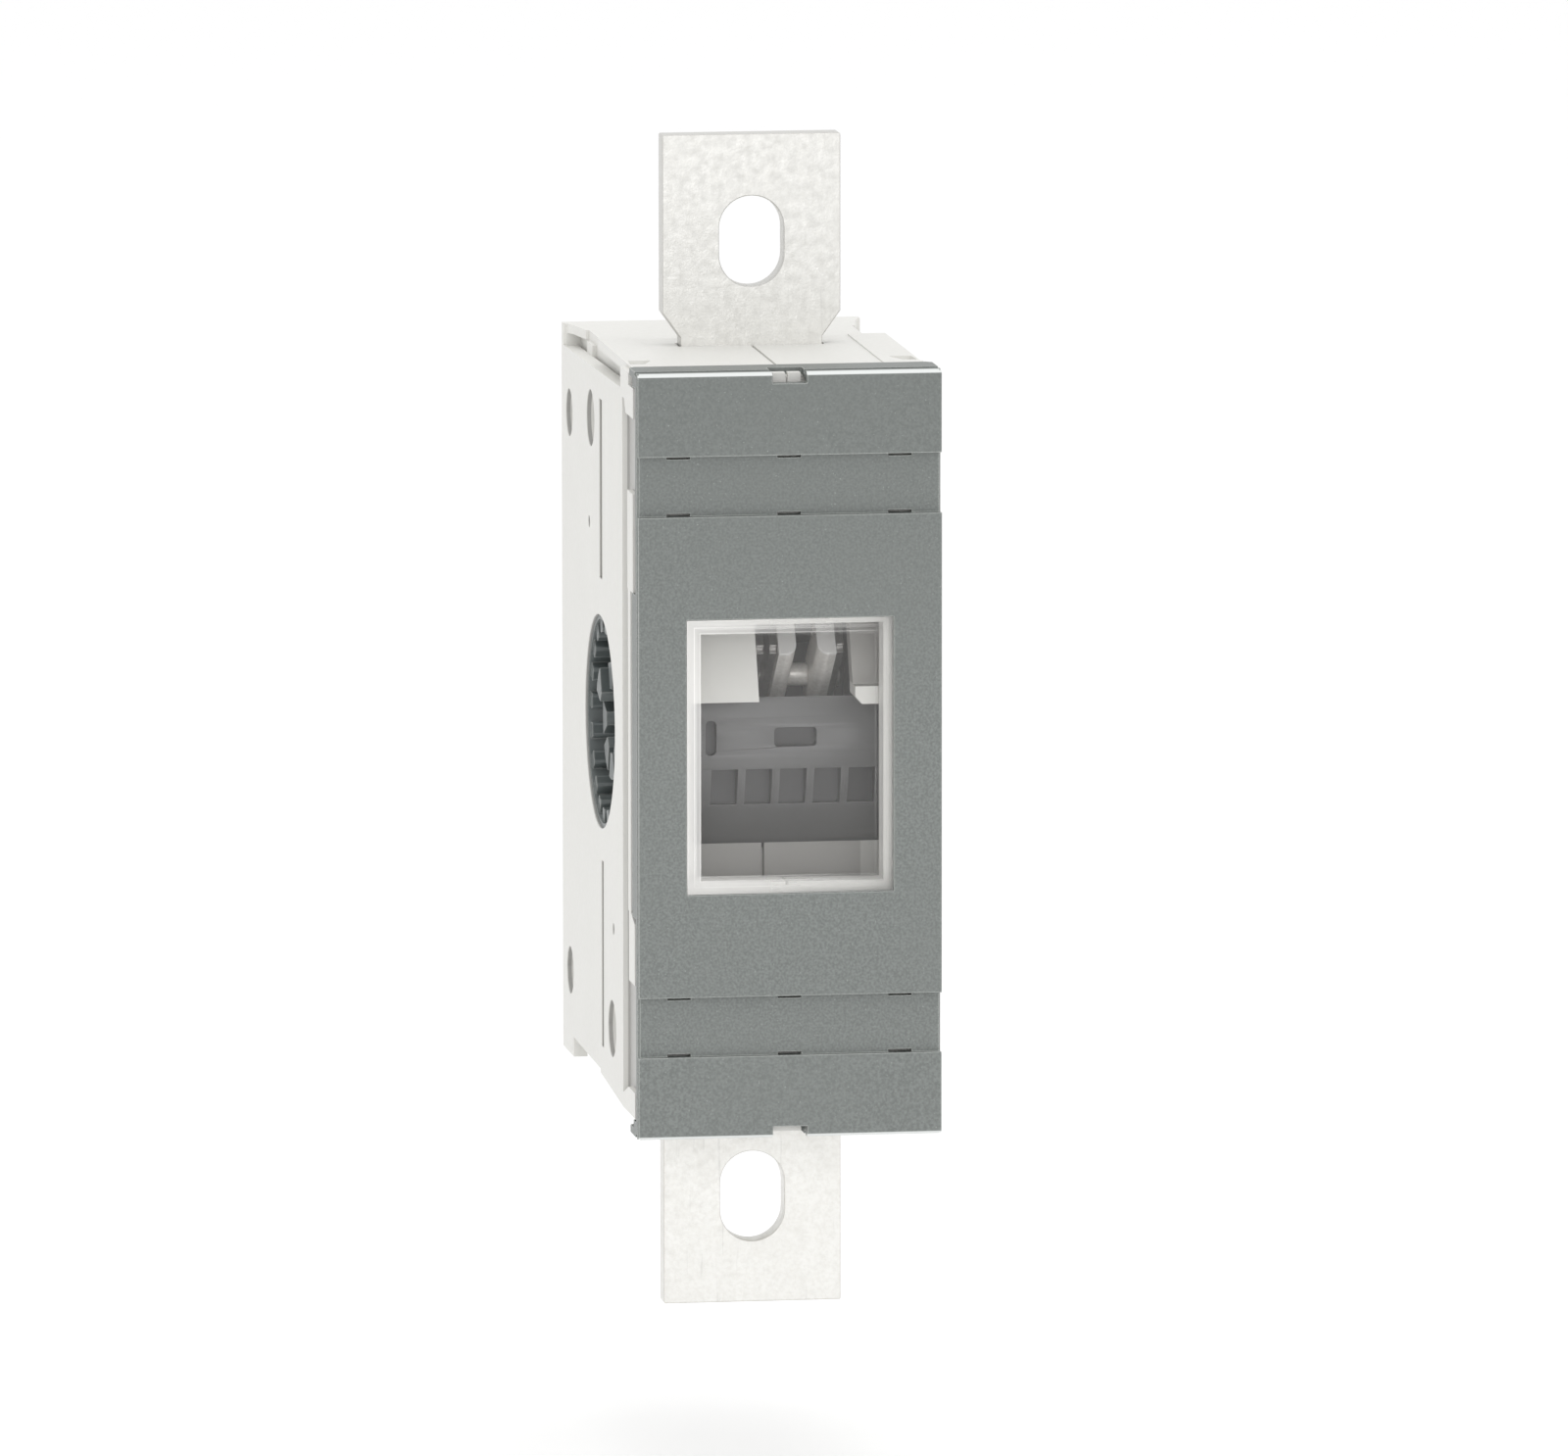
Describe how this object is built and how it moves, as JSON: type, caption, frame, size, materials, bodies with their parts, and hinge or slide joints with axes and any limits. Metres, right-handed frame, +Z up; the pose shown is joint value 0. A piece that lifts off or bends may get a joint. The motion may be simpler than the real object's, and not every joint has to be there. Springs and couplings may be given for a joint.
{
  "type": "switch disconnector pole",
  "caption": "Rotary switch-disconnector pole: split moulded case, stepped front cover with clear window, slotted terminal bars above and below, and a turning blade rotor with toothed couplings.",
  "frame": {"origin": "centre of the rear mounting face", "axes": "+X across the pole to the right seen from the front, +Y back into the panel, +Z up along the terminal bars"},
  "size_m": [0.065, 0.118, 0.2528],
  "materials": {
    "housing": "satin moulded polyester, near white",
    "cover": "fine-textured grey-green plastic",
    "window": "clear polycarbonate",
    "terminal": "tin-plated copper bar, satin",
    "contact": "silver-plated copper",
    "spring": "spring steel strip",
    "arc_steel": "zinc-plated steel plate",
    "arc_board": "fibre board",
    "drum": "dark grey moulded plastic",
    "coupling": "dark grey-green glass-filled nylon",
    "fastener": "zinc-plated steel",
    "insert": "plain brass"
  },
  "bodies": {
    "case": {"housing_left": "housing", "housing_right": "housing", "front_cover": "cover", "window": "window", "upper_terminal": "terminal", "lower_terminal": "terminal", "upper_contact_knives": "contact", "lower_contact_knives": "contact", "upper_arc_plates": "arc_steel", "lower_arc_plates": "arc_steel", "upper_arc_frames": "arc_board", "lower_arc_frames": "arc_board", "case_screws": "fastener", "case_nuts": "fastener", "mounting_inserts": "insert"},
    "rotor": {"rotor_drum": "drum", "rotor_coupling_left": "coupling", "rotor_coupling_right": "coupling", "blade_left_outer": "contact", "blade_left_inner": "contact", "blade_right_inner": "contact", "blade_right_outer": "contact", "spring_left_outer": "spring", "spring_left_inner": "spring", "spring_right_inner": "spring", "spring_right_outer": "spring", "blade_pins": "fastener", "blade_sleeves": "contact"}
  },
  "joints": [
    {"name": "rotor_turn", "type": "hinge", "parent": "case", "child": "rotor", "pos_m": [0, -0.059, 0], "axis": [-1, 0, 0], "range_deg": [0, 52]}
  ]
}
